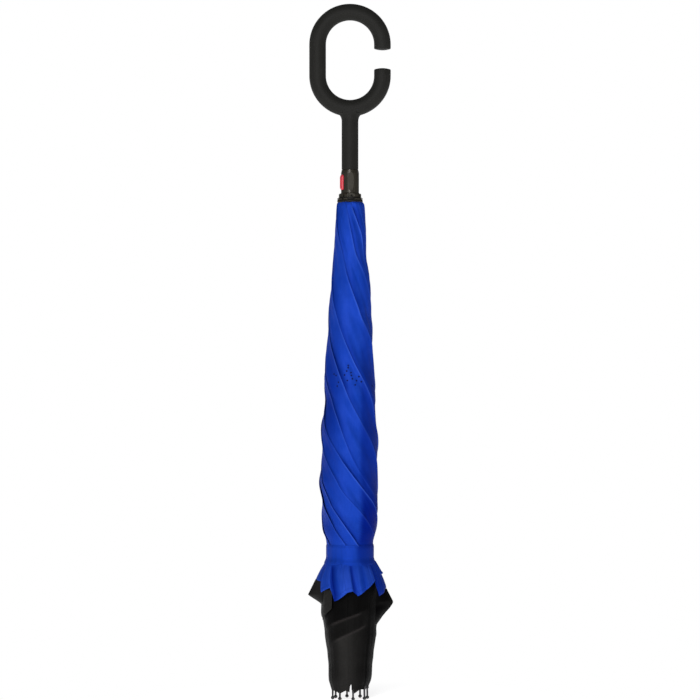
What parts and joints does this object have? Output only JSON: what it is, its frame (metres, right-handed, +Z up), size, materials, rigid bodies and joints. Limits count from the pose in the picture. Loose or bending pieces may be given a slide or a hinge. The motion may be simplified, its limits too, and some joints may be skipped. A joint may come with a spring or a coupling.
{
  "type": "reverse-folding stick umbrella, closed",
  "caption": "Closed reverse-folding umbrella with a C-shaped hands-free handle, a red latch button and a rolled blue and black double canopy.",
  "frame": {"origin": "on the shaft's axis, at the height of the surface that the rib tips stand on", "axes": "+Z up along the shaft towards the handle, +X towards the mouth of the C, -Y towards the viewer of the picture"},
  "size_m": [0.0946, 0.0794, 0.8001],
  "materials": {
    "soft_grip": "soft-touch charcoal coating over moulded plastic",
    "gloss_black": "glossy moulded black plastic",
    "button_red": "satin red moulded plastic",
    "blue_cloth": "royal blue pongee",
    "black_cloth": "black pongee",
    "shaft_steel": "steel tube",
    "rib_metal": "dark grey ribs with metal tips",
    "strut_metal": "dark grey steel channel",
    "wire_steel": "steel wire"
  },
  "bodies": {
    "frame": {"handle": "soft_grip", "shaft": "shaft_steel", "crown": "gloss_black", "crown_cap": "gloss_black", "crown_wire": "wire_steel"},
    "runner": {"runner": "gloss_black", "runner_wire": "wire_steel"},
    "button": {"button": "button_red"},
    "rib_1": {"rib_1": "rib_metal", "blue_gore_1": "blue_cloth", "black_gore_1": "black_cloth"},
    "gore_fold_1": {"gore_fold_1": "blue_cloth"},
    "strut_1": {"strut_1": "strut_metal"},
    "cover_fold_1": {"cover_fold_1": "black_cloth"},
    "rib_2": {"rib_2": "rib_metal", "blue_gore_2": "blue_cloth", "black_gore_2": "black_cloth"},
    "gore_fold_2": {"gore_fold_2": "blue_cloth"},
    "strut_2": {"strut_2": "strut_metal"},
    "cover_fold_2": {"cover_fold_2": "black_cloth"},
    "rib_3": {"rib_3": "rib_metal", "blue_gore_3": "blue_cloth", "black_gore_3": "black_cloth", "strap": "blue_cloth", "strap_tab": "blue_cloth"},
    "gore_fold_3": {"gore_fold_3": "blue_cloth"},
    "strut_3": {"strut_3": "strut_metal"},
    "cover_fold_3": {"cover_fold_3": "black_cloth"},
    "rib_4": {"rib_4": "rib_metal", "blue_gore_4": "blue_cloth", "black_gore_4": "black_cloth"},
    "gore_fold_4": {"gore_fold_4": "blue_cloth"},
    "strut_4": {"strut_4": "strut_metal"},
    "cover_fold_4": {"cover_fold_4": "black_cloth"},
    "rib_5": {"rib_5": "rib_metal", "blue_gore_5": "blue_cloth", "black_gore_5": "black_cloth"},
    "gore_fold_5": {"gore_fold_5": "blue_cloth"},
    "strut_5": {"strut_5": "strut_metal"},
    "cover_fold_5": {"cover_fold_5": "black_cloth"},
    "rib_6": {"rib_6": "rib_metal", "blue_gore_6": "blue_cloth", "black_gore_6": "black_cloth"},
    "gore_fold_6": {"gore_fold_6": "blue_cloth"},
    "strut_6": {"strut_6": "strut_metal"},
    "cover_fold_6": {"cover_fold_6": "black_cloth"},
    "rib_7": {"rib_7": "rib_metal", "blue_gore_7": "blue_cloth", "black_gore_7": "black_cloth"},
    "gore_fold_7": {"gore_fold_7": "blue_cloth"},
    "strut_7": {"strut_7": "strut_metal"},
    "cover_fold_7": {"cover_fold_7": "black_cloth"},
    "rib_8": {"rib_8": "rib_metal", "blue_gore_8": "blue_cloth", "black_gore_8": "black_cloth"},
    "gore_fold_8": {"gore_fold_8": "blue_cloth"},
    "strut_8": {"strut_8": "strut_metal"},
    "cover_fold_8": {"cover_fold_8": "black_cloth"}
  },
  "joints": [
    {"name": "runner_slide", "type": "slide", "parent": "frame", "child": "runner", "axis": [0, 0, -1], "range_m": [0, 0.37562], "deforming": ["blue_gore_1", "blue_gore_2", "blue_gore_3", "blue_gore_4", "blue_gore_5", "blue_gore_6", "blue_gore_7", "blue_gore_8", "black_gore_1", "black_gore_2", "black_gore_3", "black_gore_4", "black_gore_5", "black_gore_6", "black_gore_7", "black_gore_8", "gore_fold_1", "gore_fold_2", "gore_fold_3", "gore_fold_4", "gore_fold_5", "gore_fold_6", "gore_fold_7", "gore_fold_8", "cover_fold_1", "cover_fold_2", "cover_fold_3", "cover_fold_4", "cover_fold_5", "cover_fold_6", "cover_fold_7", "cover_fold_8", "strap", "strap_tab"]},
    {"name": "button_press", "type": "slide", "parent": "runner", "child": "button", "axis": [0.9063, 0.4226, 0], "range_m": [0, 0.0025], "stiffness_N_per_m": 800},
    {"name": "rib_hinge_1", "type": "hinge", "parent": "runner", "child": "rib_1", "pos_m": [0.01034, 0.00182, 0.57692], "axis": [0.1736, -0.9848, 0], "range_deg": [0, 104.05]},
    {"name": "gore_unfold_1", "type": "hinge", "parent": "rib_1", "child": "gore_fold_1", "pos_m": [0.01285, 0.00227, 0.5871], "axis": [0.9554, 0.1685, -0.2424], "range_deg": [0, 44.08]},
    {"name": "strut_hinge_1", "type": "hinge", "parent": "frame", "child": "strut_1", "pos_m": [0.00886, 0.00156, 0.144], "axis": [-0.1736, 0.9848, 0], "range_deg": [0, 59.82]},
    {"name": "cover_unfold_1", "type": "hinge", "parent": "strut_1", "child": "cover_fold_1", "pos_m": [0.00441, 0.00078, 0.13622], "axis": [-0.8512, -0.1501, 0.503], "range_deg": [0, 43.15]},
    {"name": "rib_hinge_2", "type": "hinge", "parent": "runner", "child": "rib_2", "pos_m": [0.00602, 0.0086, 0.57692], "axis": [0.8192, -0.5736, 0], "range_deg": [0, 104.05]},
    {"name": "gore_unfold_2", "type": "hinge", "parent": "rib_2", "child": "gore_fold_2", "pos_m": [0.00748, 0.01069, 0.5871], "axis": [0.5565, 0.7947, -0.2424], "range_deg": [0, 44.08]},
    {"name": "strut_hinge_2", "type": "hinge", "parent": "frame", "child": "strut_2", "pos_m": [0.00516, 0.00737, 0.144], "axis": [-0.8192, 0.5736, 0], "range_deg": [0, 59.82]},
    {"name": "cover_unfold_2", "type": "hinge", "parent": "strut_2", "child": "cover_fold_2", "pos_m": [0.00257, 0.00366, 0.13622], "axis": [-0.4957, -0.708, 0.503], "range_deg": [0, 43.15]},
    {"name": "rib_hinge_3", "type": "hinge", "parent": "runner", "child": "rib_3", "pos_m": [-0.00182, 0.01034, 0.57692], "axis": [0.9848, 0.1736, 0], "range_deg": [0, 104.05]},
    {"name": "gore_unfold_3", "type": "hinge", "parent": "rib_3", "child": "gore_fold_3", "pos_m": [-0.00227, 0.01285, 0.5871], "axis": [-0.1685, 0.9554, -0.2424], "range_deg": [0, 44.08]},
    {"name": "strut_hinge_3", "type": "hinge", "parent": "frame", "child": "strut_3", "pos_m": [-0.00156, 0.00886, 0.144], "axis": [-0.9848, -0.1736, 0], "range_deg": [0, 59.82]},
    {"name": "cover_unfold_3", "type": "hinge", "parent": "strut_3", "child": "cover_fold_3", "pos_m": [-0.00078, 0.00441, 0.13622], "axis": [0.1501, -0.8512, 0.503], "range_deg": [0, 43.15]},
    {"name": "rib_hinge_4", "type": "hinge", "parent": "runner", "child": "rib_4", "pos_m": [-0.0086, 0.00602, 0.57692], "axis": [0.5736, 0.8192, 0], "range_deg": [0, 104.05]},
    {"name": "gore_unfold_4", "type": "hinge", "parent": "rib_4", "child": "gore_fold_4", "pos_m": [-0.01069, 0.00748, 0.5871], "axis": [-0.7947, 0.5565, -0.2424], "range_deg": [0, 44.08]},
    {"name": "strut_hinge_4", "type": "hinge", "parent": "frame", "child": "strut_4", "pos_m": [-0.00737, 0.00516, 0.144], "axis": [-0.5736, -0.8192, 0], "range_deg": [0, 59.82]},
    {"name": "cover_unfold_4", "type": "hinge", "parent": "strut_4", "child": "cover_fold_4", "pos_m": [-0.00366, 0.00257, 0.13622], "axis": [0.708, -0.4957, 0.503], "range_deg": [0, 43.15]},
    {"name": "rib_hinge_5", "type": "hinge", "parent": "runner", "child": "rib_5", "pos_m": [-0.01034, -0.00182, 0.57692], "axis": [-0.1736, 0.9848, 0], "range_deg": [0, 104.05]},
    {"name": "gore_unfold_5", "type": "hinge", "parent": "rib_5", "child": "gore_fold_5", "pos_m": [-0.01285, -0.00227, 0.5871], "axis": [-0.9554, -0.1685, -0.2424], "range_deg": [0, 44.08]},
    {"name": "strut_hinge_5", "type": "hinge", "parent": "frame", "child": "strut_5", "pos_m": [-0.00886, -0.00156, 0.144], "axis": [0.1736, -0.9848, 0], "range_deg": [0, 59.82]},
    {"name": "cover_unfold_5", "type": "hinge", "parent": "strut_5", "child": "cover_fold_5", "pos_m": [-0.00441, -0.00078, 0.13622], "axis": [0.8512, 0.1501, 0.503], "range_deg": [0, 43.15]},
    {"name": "rib_hinge_6", "type": "hinge", "parent": "runner", "child": "rib_6", "pos_m": [-0.00602, -0.0086, 0.57692], "axis": [-0.8192, 0.5736, 0], "range_deg": [0, 104.05]},
    {"name": "gore_unfold_6", "type": "hinge", "parent": "rib_6", "child": "gore_fold_6", "pos_m": [-0.00748, -0.01069, 0.5871], "axis": [-0.5565, -0.7947, -0.2424], "range_deg": [0, 44.08]},
    {"name": "strut_hinge_6", "type": "hinge", "parent": "frame", "child": "strut_6", "pos_m": [-0.00516, -0.00737, 0.144], "axis": [0.8192, -0.5736, 0], "range_deg": [0, 59.82]},
    {"name": "cover_unfold_6", "type": "hinge", "parent": "strut_6", "child": "cover_fold_6", "pos_m": [-0.00257, -0.00366, 0.13622], "axis": [0.4957, 0.708, 0.503], "range_deg": [0, 43.15]},
    {"name": "rib_hinge_7", "type": "hinge", "parent": "runner", "child": "rib_7", "pos_m": [0.00182, -0.01034, 0.57692], "axis": [-0.9848, -0.1736, 0], "range_deg": [0, 104.05]},
    {"name": "gore_unfold_7", "type": "hinge", "parent": "rib_7", "child": "gore_fold_7", "pos_m": [0.00227, -0.01285, 0.5871], "axis": [0.1685, -0.9554, -0.2424], "range_deg": [0, 44.08]},
    {"name": "strut_hinge_7", "type": "hinge", "parent": "frame", "child": "strut_7", "pos_m": [0.00156, -0.00886, 0.144], "axis": [0.9848, 0.1736, 0], "range_deg": [0, 59.82]},
    {"name": "cover_unfold_7", "type": "hinge", "parent": "strut_7", "child": "cover_fold_7", "pos_m": [0.00078, -0.00441, 0.13622], "axis": [-0.1501, 0.8512, 0.503], "range_deg": [0, 43.15]},
    {"name": "rib_hinge_8", "type": "hinge", "parent": "runner", "child": "rib_8", "pos_m": [0.0086, -0.00602, 0.57692], "axis": [-0.5736, -0.8192, 0], "range_deg": [0, 104.05]},
    {"name": "gore_unfold_8", "type": "hinge", "parent": "rib_8", "child": "gore_fold_8", "pos_m": [0.01069, -0.00748, 0.5871], "axis": [0.7947, -0.5565, -0.2424], "range_deg": [0, 44.08]},
    {"name": "strut_hinge_8", "type": "hinge", "parent": "frame", "child": "strut_8", "pos_m": [0.00737, -0.00516, 0.144], "axis": [0.5736, 0.8192, 0], "range_deg": [0, 59.82]},
    {"name": "cover_unfold_8", "type": "hinge", "parent": "strut_8", "child": "cover_fold_8", "pos_m": [0.00366, -0.00257, 0.13622], "axis": [-0.708, 0.4957, 0.503], "range_deg": [0, 43.15]}
  ],
  "couplings": [
    {"joint": "rib_hinge_1", "follows": "runner_slide", "rad_per_m": 4.8336},
    {"joint": "gore_unfold_1", "follows": "runner_slide", "rad_per_m": 2.0474},
    {"joint": "strut_hinge_1", "follows": "runner_slide", "rad_per_m": 2.7786},
    {"joint": "cover_unfold_1", "follows": "runner_slide", "rad_per_m": 2.0038},
    {"joint": "rib_hinge_2", "follows": "runner_slide", "rad_per_m": 4.8336},
    {"joint": "gore_unfold_2", "follows": "runner_slide", "rad_per_m": 2.0474},
    {"joint": "strut_hinge_2", "follows": "runner_slide", "rad_per_m": 2.7786},
    {"joint": "cover_unfold_2", "follows": "runner_slide", "rad_per_m": 2.0038},
    {"joint": "rib_hinge_3", "follows": "runner_slide", "rad_per_m": 4.8336},
    {"joint": "gore_unfold_3", "follows": "runner_slide", "rad_per_m": 2.0474},
    {"joint": "strut_hinge_3", "follows": "runner_slide", "rad_per_m": 2.7786},
    {"joint": "cover_unfold_3", "follows": "runner_slide", "rad_per_m": 2.0038},
    {"joint": "rib_hinge_4", "follows": "runner_slide", "rad_per_m": 4.8336},
    {"joint": "gore_unfold_4", "follows": "runner_slide", "rad_per_m": 2.0474},
    {"joint": "strut_hinge_4", "follows": "runner_slide", "rad_per_m": 2.7786},
    {"joint": "cover_unfold_4", "follows": "runner_slide", "rad_per_m": 2.0038},
    {"joint": "rib_hinge_5", "follows": "runner_slide", "rad_per_m": 4.8336},
    {"joint": "gore_unfold_5", "follows": "runner_slide", "rad_per_m": 2.0474},
    {"joint": "strut_hinge_5", "follows": "runner_slide", "rad_per_m": 2.7786},
    {"joint": "cover_unfold_5", "follows": "runner_slide", "rad_per_m": 2.0038},
    {"joint": "rib_hinge_6", "follows": "runner_slide", "rad_per_m": 4.8336},
    {"joint": "gore_unfold_6", "follows": "runner_slide", "rad_per_m": 2.0474},
    {"joint": "strut_hinge_6", "follows": "runner_slide", "rad_per_m": 2.7786},
    {"joint": "cover_unfold_6", "follows": "runner_slide", "rad_per_m": 2.0038},
    {"joint": "rib_hinge_7", "follows": "runner_slide", "rad_per_m": 4.8336},
    {"joint": "gore_unfold_7", "follows": "runner_slide", "rad_per_m": 2.0474},
    {"joint": "strut_hinge_7", "follows": "runner_slide", "rad_per_m": 2.7786},
    {"joint": "cover_unfold_7", "follows": "runner_slide", "rad_per_m": 2.0038},
    {"joint": "rib_hinge_8", "follows": "runner_slide", "rad_per_m": 4.8336},
    {"joint": "gore_unfold_8", "follows": "runner_slide", "rad_per_m": 2.0474},
    {"joint": "strut_hinge_8", "follows": "runner_slide", "rad_per_m": 2.7786},
    {"joint": "cover_unfold_8", "follows": "runner_slide", "rad_per_m": 2.0038}
  ]
}
